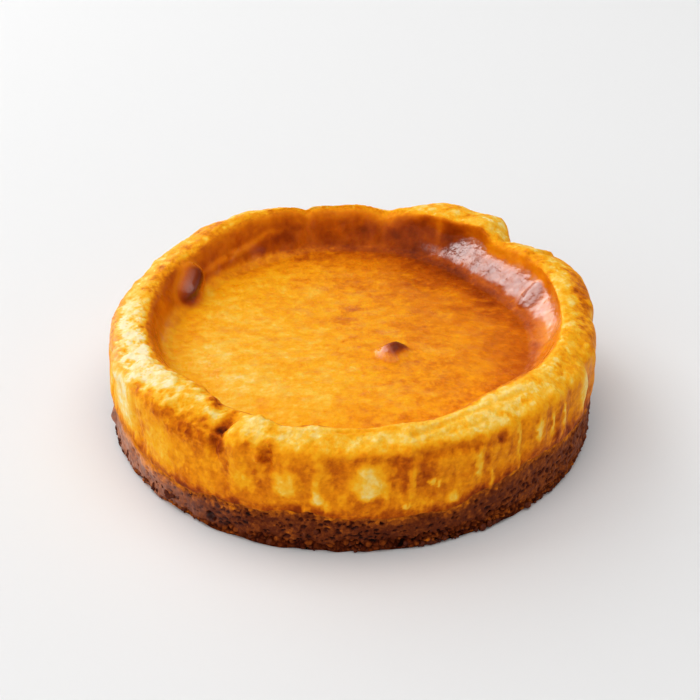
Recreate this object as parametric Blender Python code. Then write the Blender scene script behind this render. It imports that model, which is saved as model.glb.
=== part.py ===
"""A small round baked cheesecake with a raised, uneven rim round a sunken top, on a thick crumb base.

Metres, +Z up, origin at the centre of the flat underside. An angle is in degrees in plan, anticlockwise
from +X, and -Y is the front. Two solids: the filling, and the crumb base under it, which meet in a wavy
joint that shows at the side. Each is a lathe-like skin of rings whose radius and height change with the
angle, with folds, blisters and crumbs as relief along its normals.
"""

from collections import namedtuple

import bpy
import numpy as np

# Driving dimensions of the whole cake
CAKE_RADIUS = 0.0600
RIM_HEIGHT = 0.0286
FLOOR_HEIGHT = 0.0199
LAYER_GAP = 0.0003

# Crumb base
BASE_HEIGHT = 0.0096
BASE_HEIGHT_INSIDE = 0.0105
BASE_EDGE_ROUNDING = 0.0005
CRUMB_SIZE = 0.0032
CRUMB_RELIEF = 0.0006

# Rim and sunken top, before the swells below change them
LIP_RADIUS = 0.0508
LIP_ROUNDING = 0.0016
FOOT_RADIUS = 0.0468
FOOT_ROUNDING = 0.0018
SHOULDER_WIDTH = 0.0046
SHOULDER_DROP = 0.0048
CROWN = 0.0005
FLOOR_MOAT = 0.0004

# Uneven skin
SKIN_WAVE_SIZE = 0.0110
SKIN_WAVE_HEIGHT = 0.0005
SKIN_LUMP_SIZE = 0.0042
SKIN_LUMP_HEIGHT = 0.00025
FLOOR_SHARE_OF_SKIN_RELIEF = 0.3
PLEAT_DEPTH = 0.0005
PLEAT_COUNT_BEHIND = 16
PLEAT_SEED = 7

# Rings of the two meshes. The rings inside the outer ones are (radius, or share of the cake's radius, and
# how many times fewer points the ring has than COLUMNS); they are closest where the floor has its blister.
COLUMNS = 144
WALL_ROWS = 6
RIM_STEPS_PER_SPAN = 2
BASE_SIDE_ROWS = 7
FLOOR_RINGS = (
    (0.0415, 1),
    (0.0380, 2),
    (0.0335, 2),
    (0.0285, 2),
    (0.0235, 2),
    (0.0190, 2),
    (0.0165, 2),
    (0.0145, 2),
    (0.0128, 2),
    (0.0111, 2),
    (0.0092, 4),
    (0.0070, 4),
    (0.0040, 8),
)
HIDDEN_RINGS = ((0.88, 1), (0.62, 2), (0.30, 4))

# A slow change of the outline round the cake: it climbs over `before` degrees up to the angle `at`
# and dies away over `after` degrees. The lengths are added to the outline's own.
Swell = namedtuple("Swell", "at before after rise bulge lip foot", defaults=(0, 0, 0, 0))
SWELLS = (
    Swell(50, 8, 20, rise=0.0026, bulge=0.0046, lip=0.0012),  # big lump, back right
    Swell(66, 11, 14, rise=0.0018, bulge=0.0034),  # its lower shoulder
    Swell(100, 62, 52, rise=0.0009, bulge=0.0005, lip=0.0044, foot=0.0030),  # thin, steep back wall
    Swell(111, 8, 20, rise=0.0012, bulge=0.0012),  # back left
    Swell(130, 22, 18, rise=0.0012, bulge=0.0012),
    Swell(103, 2.5, 2.5, rise=-0.0009),  # nick in the back rim
    Swell(80, 4, 4, rise=-0.0008),  # smaller nick beside it
    Swell(22, 26, 25, rise=0.0011, bulge=0.0025, lip=0.0008),  # right
    Swell(31, 2, 3, rise=0.0007, bulge=0.0006),  # crag on it
    Swell(38, 34, 26, foot=-0.0016, lip=0.0014),  # easy slope, back right
    Swell(166, 20, 26, rise=-0.0004, bulge=-0.0008),  # flatter outline, back left
    Swell(194, 12, 16, bulge=-0.0009),  # and left
    Swell(180, 30, 28, lip=-0.0006, foot=0.0008),  # steep slope, left
    Swell(225, 20, 11, rise=0.0006, bulge=0.0004, lip=-0.0020),  # broad fold, front left
    Swell(239, 5, 6, rise=-0.0006, bulge=-0.0003, lip=-0.0008),  # valley across the rim
    Swell(254, 8, 8, rise=-0.0004, lip=0.0016),  # the lip steps back beyond the valley
    Swell(310, 22, 26, rise=0.0002, lip=-0.0020),  # broad rim, front right
)
# The crumb base is a little wider at the front left, and taller at the front right, where it climbs
# in a step.
BASE_SWELLS = (
    Swell(248, 24, 18, bulge=0.0005),
    Swell(316, 23, 52, rise=0.0044),
    Swell(297, 3, 24, rise=0.0014),
    Swell(259, 12, 12, rise=0.0010),
    Swell(206, 12, 10, rise=0.0012),
    Swell(231, 16, 10, rise=-0.0014),
    Swell(110, 40, 50, rise=0.0016),
)

# A raised (or, with a negative height, sunken) stroke between two places on the skin, each given as
# (angle, radius, height above the table). It fades out `half_width` away from the line.
Stroke = namedtuple("Stroke", "start end half_width height")
STROKES = (
    # Baked blisters: one on the floor, one at the foot of the left slope, one on the right slope.
    Stroke((322, 0.0120, 0.0199), (330, 0.0124, 0.0199), 0.0044, 0.0026),
    Stroke((150, 0.0488, 0.0236), (155, 0.0468, 0.0218), 0.0052, 0.0032),
    Stroke((18, 0.0470, 0.0224), (19, 0.0485, 0.0236), 0.0040, 0.0013),
    # Front left: the shoulder slumps towards a valley that runs over the rim and down to two pits.
    Stroke((228, 0.0595, 0.0270), (238, 0.0590, 0.0262), 0.0050, -0.0015),
    Stroke((241, 0.0530, 0.0280), (238.5, 0.0600, 0.0225), 0.0024, -0.0009),
    Stroke((238.5, 0.0600, 0.0235), (239, 0.0600, 0.0205), 0.0020, -0.0010),
    Stroke((251.5, 0.0600, 0.0255), (252, 0.0600, 0.0215), 0.0020, -0.0009),
    # Front left: the fold's two pale knuckles beside the valley.
    Stroke((208, 0.0550, 0.0285), (231, 0.0520, 0.0288), 0.0042, 0.0008),
    Stroke((247, 0.0530, 0.0282), (252, 0.0565, 0.0275), 0.0036, 0.0006),
    # Front: the roll hangs over the wall, and a groove runs along its crest.
    Stroke((268, 0.0600, 0.0240), (281, 0.0600, 0.0238), 0.0022, -0.0006),
    Stroke((284, 0.0600, 0.0250), (297, 0.0600, 0.0252), 0.0022, -0.0007),
    Stroke((284, 0.0560, 0.0280), (316, 0.0540, 0.0284), 0.0013, -0.0006),
    # Left: lump on the shoulder, over a dent.
    Stroke((198, 0.0590, 0.0255), (203, 0.0590, 0.0235), 0.0034, 0.0010),
    Stroke((193, 0.0600, 0.0230), (195, 0.0600, 0.0140), 0.0022, -0.0008),
    # Back right: the dimple where the big lump folds down on to the next stretch of rim.
    Stroke((42, 0.0560, 0.0290), (42, 0.0610, 0.0240), 0.0026, -0.0007),
)
# The same on the crumb base's side: a crumb that stands out at the left and one at the right, and a
# broken lower edge at the front right.
BASE_STROKES = (
    Stroke((192, 0.0600, 0.0050), (192, 0.0600, 0.0050), 0.0032, 0.0010),
    Stroke((327, 0.0600, 0.0030), (327, 0.0600, 0.0030), 0.0030, 0.0008),
    Stroke((286, 0.0600, 0.0000), (302, 0.0600, 0.0000), 0.0034, -0.0012),
)
# Pleats that the baking paper left in the front wall: (angle, half width in degrees, share of depth).
FRONT_PLEATS = (
    (201, 4, 1.2),
    (214, 3, -1.0),
    (245, 3, 0.8),
    (257, 5, 0.8),
    (266, 3, -0.8),
    (273, 4, 0.8),
    (282, 3, 0.9),
    (296, 3, 0.9),
    (303, 3, -0.6),
    (310, 2.5, -1.2),
    (316, 4, 0.7),
    (322, 2, 1.1),
    (328, 3, -1.3),
    (334, 4, 1.2),
    (339, 2.5, -1.3),
    (345, 4, 0.9),
)


def smooth(x):
    """Runs from 0 to 1 as x does, level at both ends."""
    x = np.clip(x, 0, 1)
    return x * x * (3 - 2 * x)


def turn_from(angle, other):
    """The signed turn from `other` to `angle`, from -180 to 180 degrees."""
    return (angle - other + 180) % 360 - 180


def swell_share(swell, angle):
    turn = turn_from(angle, swell.at)
    return np.where(turn < 0, smooth(1 + turn / swell.before), smooth(1 - turn / swell.after))


def swollen(quantity, angle, swells=SWELLS):
    """The sum of one quantity of the swells at these angles."""
    return sum(getattr(swell, quantity) * swell_share(swell, angle) for swell in swells)


def hashed(cell, seed):
    """A repeatable number from -1 to 1 for each row of whole numbers."""
    mixed = cell[..., 0] * 73856093 ^ cell[..., 1] * 19349663 ^ cell[..., 2] * 83492791 ^ seed * 6542989
    mixed = (mixed ^ mixed >> 13) * 1274126177 & 0x7FFFFFFF
    mixed = (mixed ^ mixed >> 11) * 668265263 & 0x7FFFFFFF
    return (mixed >> 7 & 0xFFFF) / 0x7FFF - 1


def soft_noise(points, size, seed):
    """Smooth noise from about -1 to 1 whose bumps are about `size` across."""
    place = points / size
    corner = np.floor(place).astype(np.int64)
    weight = smooth(place - corner)
    total = 0
    for step in np.ndindex(2, 2, 2):
        near = np.where(step, weight, 1 - weight).prod(axis=-1)
        total = total + near * hashed(corner + step, seed)
    return total


def on_plan(angle, radius, height):
    turn = np.radians(angle)
    return np.stack(np.broadcast_arrays(radius * np.cos(turn), radius * np.sin(turn), height), axis=-1)


def catmull_rom(knots, steps):
    """Points on the curve through the knots, `steps` to a span, without the first and the last knot."""
    rows = []
    for before, start, end, after in zip(knots, knots[1:], knots[2:], knots[3:]):
        for t in np.arange(steps) / steps:
            slope_in, slope_out = (end - before) / 2, (after - start) / 2
            bend = 3 * (end - start) - 2 * slope_in - slope_out
            twist = 2 * (start - end) + slope_in + slope_out
            rows.append(start + t * slope_in + t**2 * bend + t**3 * twist)
    return [*rows, knots[-2]]


def base_radius(angle):
    return CAKE_RADIUS + swollen("bulge", angle, BASE_SWELLS)


def wall_radius(angle):
    """The filling's outer radius just under the rim's shoulder."""
    return CAKE_RADIUS + swollen("bulge", angle)


def joint_height(angle, share):
    """Top of the crumb base, `share` of the way out from the middle."""
    side = BASE_HEIGHT + swollen("rise", angle, BASE_SWELLS)
    return BASE_HEIGHT_INSIDE + (side - BASE_HEIGHT_INSIDE) * smooth(share)


def rim_knots(angle):
    """The (radius, height) knots from the top of the wall over the rim and down to the floor."""
    outside = wall_radius(angle)
    crest = RIM_HEIGHT + swollen("rise", angle)
    lip = LIP_RADIUS + swollen("lip", angle)
    foot = FOOT_RADIUS + swollen("foot", angle)
    shoulder = outside - SHOULDER_WIDTH
    middle = (lip + shoulder) / 2
    halfway = (crest + FLOOR_HEIGHT) / 2
    return [
        np.stack(np.broadcast_arrays(*knot))
        for knot in (
            (outside, crest - 2 * SHOULDER_DROP),
            (outside, crest - SHOULDER_DROP),
            (outside - 0.22 * SHOULDER_WIDTH, crest - 0.42 * SHOULDER_DROP),
            (shoulder, crest - CROWN),
            (middle, crest),
            (lip + 0.2 * LIP_ROUNDING, crest - CROWN),
            (lip - 0.6 * LIP_ROUNDING, crest - LIP_ROUNDING),
            ((lip + foot) / 2 - 0.3 * LIP_ROUNDING, halfway),
            (foot, FLOOR_HEIGHT + 0.9 * FOOT_ROUNDING),
            (foot - FOOT_ROUNDING, FLOOR_HEIGHT + 0.15 * FOOT_ROUNDING),
            (foot - 3 * FOOT_ROUNDING, FLOOR_HEIGHT),
        )
    ]


def ring_angles(columns):
    return np.arange(columns) * 360 / columns


def joint_rings():
    """The hidden rings of the joint between the layers, from the outermost to the middle."""
    rings = []
    for share, fewer in HIDDEN_RINGS:
        angle = ring_angles(COLUMNS // fewer)
        rings.append(on_plan(angle, share * CAKE_RADIUS, joint_height(angle, share)))
    return rings


def filling_rings():
    """The filling's rings, from the middle of its underside round to the middle of its floor."""
    rings = [ring + (0, 0, LAYER_GAP) for ring in joint_rings()[::-1]]
    angle = ring_angles(COLUMNS)
    knots = rim_knots(angle)
    low, high = joint_height(angle, 1) + LAYER_GAP, knots[1][1]
    narrow, wide = base_radius(angle), wall_radius(angle)
    for share in np.arange(WALL_ROWS) / WALL_ROWS:
        rings.append(on_plan(angle, narrow + (wide - narrow) * smooth(share), low + (high - low) * share))
    rings += [on_plan(angle, *row) for row in catmull_rom(knots, RIM_STEPS_PER_SPAN)]
    edge = knots[-2][0].min()
    for radius, fewer in FLOOR_RINGS:
        moat = FLOOR_MOAT * smooth((radius / edge - 0.6) / 0.4)
        rings.append(on_plan(ring_angles(COLUMNS // fewer), radius, FLOOR_HEIGHT - moat))
    return rings


def base_rings():
    """The crumb base's rings, from the middle of its underside round to the middle of its top."""
    angle = ring_angles(COLUMNS)
    outside = base_radius(angle)
    rings = [on_plan(ring_angles(COLUMNS // 2), 0.80 * CAKE_RADIUS, 0)]
    rings.append(on_plan(angle, outside - BASE_EDGE_ROUNDING, 0))
    rings.append(on_plan(angle, outside, BASE_EDGE_ROUNDING))
    top = joint_height(angle, 1)
    for share in (np.arange(BASE_SIDE_ROWS) + 1) / BASE_SIDE_ROWS:
        rings.append(on_plan(angle, outside, BASE_EDGE_ROUNDING + (top - BASE_EDGE_ROUNDING) * share))
    return rings + joint_rings()


def strip(first, second):
    """Faces between two rings of vertex numbers, where one may have twice as many as the other."""
    if len(first) < len(second):
        return [face[::-1] for face in strip(second, first)]
    ratio = len(first) // len(second)
    faces = []
    for k, near in enumerate(second):
        across = second[(k + 1) % len(second)]
        a, b = first[ratio * k], first[(ratio * k + 1) % len(first)]
        if ratio == 1:
            faces.append((a, b, across, near))
        else:
            c = first[(ratio * k + 2) % len(first)]
            faces += [(a, b, near), (b, across, near), (b, c, across)]
    return faces


def skin_mesh(name, rings):
    """A closed mesh through the rings, with a point in the middle of the first and of the last."""
    starts = np.cumsum([0, *(len(ring) for ring in rings)])
    numbers = [list(range(start, start + len(ring))) for start, ring in zip(starts, rings)]
    first_middle, last_middle = starts[-1], starts[-1] + 1
    faces = [face for pair in zip(numbers, numbers[1:]) for face in strip(*pair)]
    faces += [(first_middle, b, a) for a, b in zip(numbers[0], numbers[0][1:] + numbers[0][:1])]
    faces += [(last_middle, a, b) for a, b in zip(numbers[-1], numbers[-1][1:] + numbers[-1][:1])]
    middles = [(0, 0, ring[:, 2].mean()) for ring in (rings[0], rings[-1])]
    mesh = bpy.data.meshes.new(name)
    mesh.from_pydata(np.concatenate([*rings, middles]).tolist(), [], faces)
    mesh.update()
    return mesh


def points_of(mesh):
    points = np.empty(len(mesh.vertices) * 3)
    mesh.vertices.foreach_get("co", points)
    return points.reshape(-1, 3)


def normals_of(mesh):
    normals = np.empty(len(mesh.vertices) * 3)
    mesh.vertex_normals.foreach_get("vector", normals)
    return normals.reshape(-1, 3)


def push_out(mesh, heights, directions):
    """Moves each vertex along its direction by its height."""
    moved = points_of(mesh) + directions * heights[:, None]
    mesh.vertices.foreach_set("co", moved.ravel())
    mesh.update()


def angles_of(points):
    return np.degrees(np.arctan2(points[:, 1], points[:, 0]))


def stroke_relief(points, strokes):
    """The height that the strokes add at each point."""
    total = np.zeros(len(points))
    for stroke in strokes:
        start, end = on_plan(*stroke.start), on_plan(*stroke.end)
        run = end - start
        along = np.clip((points - start) @ run / max(run @ run, 1e-12), 0, 1)
        away = np.linalg.norm(points - start - along[:, None] * run, axis=1)
        total += stroke.height * smooth(1 - away / stroke.half_width)
    return total


def all_pleats():
    """The front pleats, and those of the back, spread at random between the same limits."""
    draw = np.random.default_rng(PLEAT_SEED)
    step = 210 / PLEAT_COUNT_BEHIND
    behind = [
        (-12 + step * (k + draw.uniform(0.2, 0.8)), draw.uniform(2.5, 5), draw.uniform(-1.2, 1.2))
        for k in range(PLEAT_COUNT_BEHIND)
    ]
    return [*FRONT_PLEATS, *behind]


def pleat_relief(points, low, high):
    """The paper's pleats, which start at the height `low`, are full by `high` and die away over the rim."""
    angle = angles_of(points)
    depth = sum(share * smooth(1 - np.abs(turn_from(angle, at)) / width) for at, width, share in all_pleats())
    fade_in = smooth((points[:, 2] - low) / (high - low))
    radius = np.hypot(points[:, 0], points[:, 1])
    on_wall = smooth((radius - CAKE_RADIUS + SHOULDER_WIDTH) / SHOULDER_WIDTH)
    return PLEAT_DEPTH * depth * fade_in * on_wall


def skin_relief(points):
    """Slow waves and small lumps of the baked skin, gentler on the floor than on the rim and wall."""
    radius = np.hypot(points[:, 0], points[:, 1])
    share = FLOOR_SHARE_OF_SKIN_RELIEF + (1 - FLOOR_SHARE_OF_SKIN_RELIEF) * smooth((radius - 0.044) / 0.006)
    waves = SKIN_WAVE_HEIGHT * soft_noise(points, SKIN_WAVE_SIZE, seed=1)
    lumps = SKIN_LUMP_HEIGHT * soft_noise(points, SKIN_LUMP_SIZE, seed=2)
    return share * (waves + lumps)


def crumb_relief(points):
    """Lumps the size of crushed biscuit."""
    return CRUMB_RELIEF * (0.65 * soft_noise(points, CRUMB_SIZE, seed=3) - 0.15)


def material(name, colour, roughness):
    made = bpy.data.materials.new(name)
    made.use_nodes = True
    shader = made.node_tree.nodes["Principled BSDF"]
    shader.inputs["Base Color"].default_value = (*colour, 1)
    shader.inputs["Roughness"].default_value = roughness
    shader.inputs["Metallic"].default_value = 0
    return made


def add_node(name, mesh, finish):
    mesh.materials.append(finish)
    mesh.shade_smooth()
    bpy.context.scene.collection.objects.link(bpy.data.objects.new(name, mesh))


def make_filling():
    mesh = skin_mesh("cheesecake", filling_rings())
    points = points_of(mesh)
    height_over_joint = points[:, 2] - joint_height(angles_of(points), 1)
    outside = normals_of(mesh)[:, 2] > -0.7  # the underside stays as it is, clear of the base
    low, high = BASE_HEIGHT, BASE_HEIGHT + 0.008
    relief = stroke_relief(points, STROKES) + pleat_relief(points, low, high) + skin_relief(points)
    push_out(mesh, relief * outside * smooth(height_over_joint / 0.003 + 0.2), normals_of(mesh))
    add_node("cheesecake", mesh, material("baked_filling", (0.78, 0.36, 0.05), 0.4))


def make_base():
    mesh = skin_mesh("crumb_base", base_rings())
    points = points_of(mesh)
    radius = np.hypot(points[:, 0], points[:, 1])
    outwards = points * (1, 1, 0) / np.maximum(radius, BASE_HEIGHT)[:, None]
    side = radius > 0.95 * CAKE_RADIUS
    push_out(mesh, (crumb_relief(points) + stroke_relief(points, BASE_STROKES)) * side, outwards)
    add_node("crumb_base", mesh, material("biscuit_crumb", (0.10, 0.035, 0.014), 0.7))


def main():
    for leftover in list(bpy.data.objects):
        bpy.data.objects.remove(leftover)
    make_base()
    make_filling()


main()
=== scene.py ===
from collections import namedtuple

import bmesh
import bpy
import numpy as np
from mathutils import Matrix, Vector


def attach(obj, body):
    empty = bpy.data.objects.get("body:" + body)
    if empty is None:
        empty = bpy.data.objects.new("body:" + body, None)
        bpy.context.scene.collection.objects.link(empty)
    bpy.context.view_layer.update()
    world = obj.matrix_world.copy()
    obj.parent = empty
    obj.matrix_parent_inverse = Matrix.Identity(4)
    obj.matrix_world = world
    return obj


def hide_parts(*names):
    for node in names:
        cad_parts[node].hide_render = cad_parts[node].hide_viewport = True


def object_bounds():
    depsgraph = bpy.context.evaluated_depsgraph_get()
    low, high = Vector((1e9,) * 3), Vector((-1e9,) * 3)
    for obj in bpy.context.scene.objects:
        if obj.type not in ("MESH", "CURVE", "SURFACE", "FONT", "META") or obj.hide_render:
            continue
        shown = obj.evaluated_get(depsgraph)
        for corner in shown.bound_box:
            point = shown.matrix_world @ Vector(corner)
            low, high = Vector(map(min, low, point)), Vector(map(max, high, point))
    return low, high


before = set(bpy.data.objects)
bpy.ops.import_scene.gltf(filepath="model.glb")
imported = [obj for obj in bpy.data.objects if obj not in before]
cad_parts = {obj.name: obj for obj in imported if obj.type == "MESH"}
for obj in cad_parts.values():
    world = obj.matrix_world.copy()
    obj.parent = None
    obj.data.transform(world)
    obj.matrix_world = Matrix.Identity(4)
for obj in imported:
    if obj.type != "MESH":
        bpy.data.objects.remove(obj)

# The looks of a small baked cheesecake: a browned filling with a raised, uneven rim round a sunken glossy
# top, on a crumb base. Lengths are in millimetres until a mesh is made. An angle is in degrees in plan,
# anticlockwise from +X, and -Y is the front. The layers have the CAD solids' form, which the first
# functions repeat on far finer rings; finer relief and the colours of baking, with some painted shade and
# painted reflections among them, are then added by the place on the skin.

CAD_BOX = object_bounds()
MM = 0.001
BOX_LOW, BOX_HIGH = np.array(CAD_BOX) / MM

# The form, as in the CAD
CAKE_RADIUS = 60
RIM_HEIGHT = 28.6
FLOOR_HEIGHT = 19.9
BASE_HEIGHT = 9.6
BASE_HEIGHT_INSIDE = 10.5
BASE_EDGE_ROUNDING = 0.5
CRUMB_SIZE = 3.2
CRUMB_RELIEF = 0.6
LIP_RADIUS = 50.8
LIP_ROUNDING = 1.6
FOOT_RADIUS = 46.8
FOOT_ROUNDING = 1.8
SHOULDER_WIDTH = 4.6
SHOULDER_DROP = 4.8
CROWN = 0.5
FLOOR_MOAT = 0.4
SKIN_WAVE_SIZE = 11
SKIN_WAVE_HEIGHT = 0.5
SKIN_LUMP_SIZE = 4.2
SKIN_LUMP_HEIGHT = 0.25
FLOOR_RELIEF_SHARE = 0.3
PLEAT_DEPTH = 0.5
PLEAT_COUNT_BEHIND = 16
PLEATS_BEHIND_START = -12
PLEATS_BEHIND_TURN = 210
PLEAT_SEED = 7

# The outline's swells: where each is, how far it reaches before and after that, in degrees, and what it
# adds to the rim's height and to the radius of the wall, the lip and the slope's foot
Swell = namedtuple("Swell", "at before after rise bulge lip foot", defaults=(0, 0, 0, 0))
SWELLS = [Swell(*row) for row in (
    (50, 8, 20, 2.6, 4.6, 1.2), (66, 11, 14, 1.8, 3.4), (100, 62, 52, 0.9, 0.5, 4.4, 3),
    (111, 8, 20, 1.2, 1.2), (130, 22, 18, 1.2, 1.2), (103, 2.5, 2.5, -0.9), (80, 4, 4, -0.8),
    (22, 26, 25, 1.1, 2.5, 0.8), (31, 2, 3, 0.7, 0.6), (38, 34, 26, 0, 0, 1.4, -1.6),
    (166, 20, 26, -0.4, -0.8), (194, 12, 16, 0, -0.9), (180, 30, 28, 0, 0, -0.6, 0.8),
    (225, 20, 11, 0.6, 0.4, -2), (239, 5, 6, -0.6, -0.3, -0.8), (254, 8, 8, -0.4, 0, 1.6),
    (310, 22, 26, 0.2, 0, -2),
)]
BASE_SWELLS = [Swell(*row) for row in (
    (248, 24, 18, 0, 0.5), (316, 23, 52, 4.4), (297, 3, 24, 1.4), (259, 12, 12, 1), (206, 12, 10, 1.2),
    (231, 16, 10, -1.4), (110, 40, 50, 1.6),
)]
# Lumps and hollows along a line from one (angle, radius, height) to another
Stroke = namedtuple("Stroke", "start end half_width height")
STROKES = [Stroke(*row) for row in (
    ((322, 12, 19.9), (330, 12.4, 19.9), 4.4, 2.6), ((150, 48.8, 23.6), (155, 46.8, 21.8), 5.2, 3.2),
    ((18, 47, 22.4), (19, 48.5, 23.6), 4, 1.3), ((228, 59.5, 27), (238, 59, 26.2), 5, -1.5),
    ((241, 53, 28), (238.5, 60, 22.5), 2.4, -0.9), ((238.5, 60, 23.5), (239, 60, 20.5), 2, -1),
    ((251.5, 60, 25.5), (252, 60, 21.5), 2, -0.9), ((208, 55, 28.5), (231, 52, 28.8), 4.2, 0.8),
    ((247, 53, 28.2), (252, 56.5, 27.5), 3.6, 0.6), ((268, 60, 24), (281, 60, 23.8), 2.2, -0.6),
    ((284, 60, 25), (297, 60, 25.2), 2.2, -0.7), ((284, 56, 28), (316, 54, 28.4), 1.3, -0.6),
    ((198, 59, 25.5), (203, 59, 23.5), 3.4, 1), ((193, 60, 23), (195, 60, 14), 2.2, -0.8),
    ((42, 56, 29), (42, 61, 24), 2.6, -0.7),
)]
FLOOR_BLISTER, LEFT_BLISTER, RIGHT_BLISTER = STROKES[:3]
BASE_STROKES = [Stroke(*row) for row in (
    ((192, 60, 5), (192, 60, 5), 3.2, 1), ((327, 60, 3), (327, 60, 3), 3, 0.8),
    ((286, 60, 0), (302, 60, 0), 3.4, -0.5),
)]
# Finer lumps and hollows than the CAD's: the front left fold, its burnt nodules, and the edges of the skin
FINE_STROKES = [Stroke(*row) for row in (
    ((247.5, 52.5, 28.4), (243.2, 59.2, 25), 1.7, 0.7), ((241, 53.5, 28.2), (238, 60, 24.5), 2.2, -0.9),
    ((233, 52.2, 28.6), (234.5, 53.4, 28.4), 2.2, 0.8), ((237.4, 60.2, 24.4), (237.6, 60.2, 22.2), 1, 0.7),
    ((240.8, 60, 25.8), (240.6, 60, 24.2), 0.9, 0.5), ((239.4, 60, 23.8), (239.6, 60, 21.6), 1.3, -0.9),
    ((250.2, 60.3, 23.9), (250.2, 60.3, 23.3), 1.3, 0.8), ((252.2, 60, 25.4), (252.4, 60, 22.4), 1.3, -0.7),
    ((247, 60, 26), (250, 60, 25.8), 1.1, -0.4), ((262, 54, 28.2), (282, 53.4, 28.3), 0.9, -0.35),
    ((284, 57.5, 27), (300, 56.5, 27.6), 0.8, -0.35), ((230, 50.5, 28), (239, 51.2, 28.2), 1.2, 0.4),
)]
# Of each pleat: its angle, half its width in degrees and its share of the depth
FRONT_PLEATS = (
    (201, 4, 1.2), (214, 3, -1), (245, 3, 0.8), (257, 5, 0.8), (266, 3, -0.8), (273, 4, 0.8), (282, 3, 0.9),
    (296, 3, 0.9), (303, 3, -0.6), (310, 2.5, -1.2), (316, 4, 0.7), (322, 2, 1.1), (328, 3, -1.3),
    (334, 4, 1.2), (339, 2.5, -1.3), (345, 4, 0.9),
)

# The finer rings. A place on the skin's profile has a track number: -1 where it is hidden, 0 at the wall's
# lower edge, 1 at its top, then one for each knot of the rim: 3 the shoulder, 4 the crest, 5 and 6 the lip,
# 7 halfway down the slope, 8 its foot, 9 the floor's edge and 10 the middle of the floor.
HIDDEN_TRACK = -1
WALL_TOP_KNOT = 1
FLOOR_EDGE_KNOT = 9
LIP_TRACK = 5.8
COLUMNS = 896
WALL_ROWS = 34
RIM_STEPS = (7, 9, 6, 6, 4, 9, 6, 4)
FLOOR_RING_STEP = 0.75
LEAST_SPACING = 0.33
BASE_COLUMNS = 1440
BASE_ROWS = 46
MARK_COUNT_BEHIND = 60
MARK_SEED = 21
PIT_COUNT = 1500
PIT_SEED = 31
CRUMB_COUNT = 380
CRUMB_SEED = 91
CURD_SIZE = 2.1
CURD_SEED = 15

# Baked marks: (angle, place, half width in degrees, half length, browning), where a negative browning is
# a paler patch. The place is a height on the wall and a track number on the rim. These are the photo's;
# the back gets its own at random.
WALL_MARKS = (
    (206, 20, 6, 8, -0.25), (215, 17, 2.5, 8, 0.08), (223, 17, 6, 5, -0.1), (245, 19, 2.4, 5, -0.12),
    (251, 15, 2.2, 4, 0.03), (256, 18.5, 3, 3.6, -0.2), (262.5, 14.6, 1.6, 2, -0.26), (267, 22, 2, 5, 0.1),
    (273.3, 19.2, 3.6, 4.4, -0.24), (273.8, 18.2, 2, 2.8, -0.2), (275, 25, 8, 2.2, 0.14),
    (273, 27.6, 9, 0.8, -0.1), (273, 13.2, 5, 1.4, 0.12), (280, 21, 2.4, 5, 0.13), (282.5, 18, 1, 4, -0.2),
    (293, 25.2, 8, 2, 0.14), (284, 17, 5, 3.4, 0.09), (260, 21, 3.4, 2.6, 0.07), (293, 27.4, 9, 0.7, -0.1),
    (300.5, 22.5, 1.4, 3.4, 0.1), (286, 21, 2.4, 5, 0.09), (286.9, 17.6, 0.9, 0.9, -0.36),
    (288.5, 16.6, 0.6, 0.8, -0.3), (292, 12.5, 1.4, 1.6, -0.24), (298, 20, 0.9, 4.2, -0.22),
    (281.5, 12.5, 0.8, 1, -0.34), (304, 25, 1.8, 2.2, 0.2), (306.5, 21, 1.3, 5, 0.06),
    (308.8, 22.5, 0.7, 3, -0.22), (311.5, 21.5, 1.8, 6, 0.05), (318, 22, 1.6, 4, 0.08),
    (319.8, 20.5, 0.6, 3.4, -0.24), (324.2, 20.5, 0.5, 3.6, -0.26), (301.3, 15, 0.5, 4, -0.18),
    (308.8, 15.5, 0.45, 5, -0.18), (314.6, 21.5, 1, 3.4, -0.3), (322, 20, 1.4, 6, 0.12),
    (327, 21, 2, 9, 0.11), (335, 21.5, 2.8, 6, -0.32), (341, 17, 3, 7, 0.05), (350, 20, 4, 8, 0.06),
)
BURNT_MARKS = (
    (214, 26.4, 4, 1.4, 0.6), (221, 26, 5, 2.4, 0.6), (228, 25, 5, 3.2, 0.6), (234, 24, 4.4, 3.2, 0.7),
    (239.2, 23.4, 2.6, 3, 1.2), (243, 19.5, 1.3, 2, 0.7), (249.8, 18.6, 1.2, 1.8, 0.7),
    (249.5, 26.8, 4.8, 1.2, 1), (252, 24.4, 1.8, 2.2, 1.1),
)
RIM_MARKS = (
    (234, 4.4, 2.6, 0.7, 0.4), (240, 3.4, 2.4, 1.8, 0.24), (329, 3.8, 18, 1.4, 0.06),
    (226, 4.9, 12, 0.5, 0.12), (206, 3.4, 14, 1.4, -0.14), (184, 1.6, 22, 0.9, 0.26),
    (247, 3, 2.4, 1.8, -0.16), (273, 4.2, 6, 1.2, 0.07), (190, 3.2, 6, 1.2, -0.1), (260, 4, 5, 1, -0.12),
    (220, 4, 5, 1, -0.12), (210, 4.2, 4, 0.8, 0.14), (310, 4, 9, 1, -0.11), (352, 3.8, 9, 1, 0.09),
    (286, 2, 8, 0.6, 0.1), (300, 4.4, 9, 0.8, -0.08), (180, 3, 14, 1.2, -0.1), (160, 4.2, 14, 1.4, 0.18),
    (135, 3.8, 18, 1.6, 0.17), (108, 4.2, 14, 1.2, 0.13), (82, 4.4, 12, 1, 0.1), (58, 3.6, 9, 0.8, 0.08),
    (30, 4.6, 16, 0.8, 0.14), (8, 2.6, 12, 0.8, 0.16),
)
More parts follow.
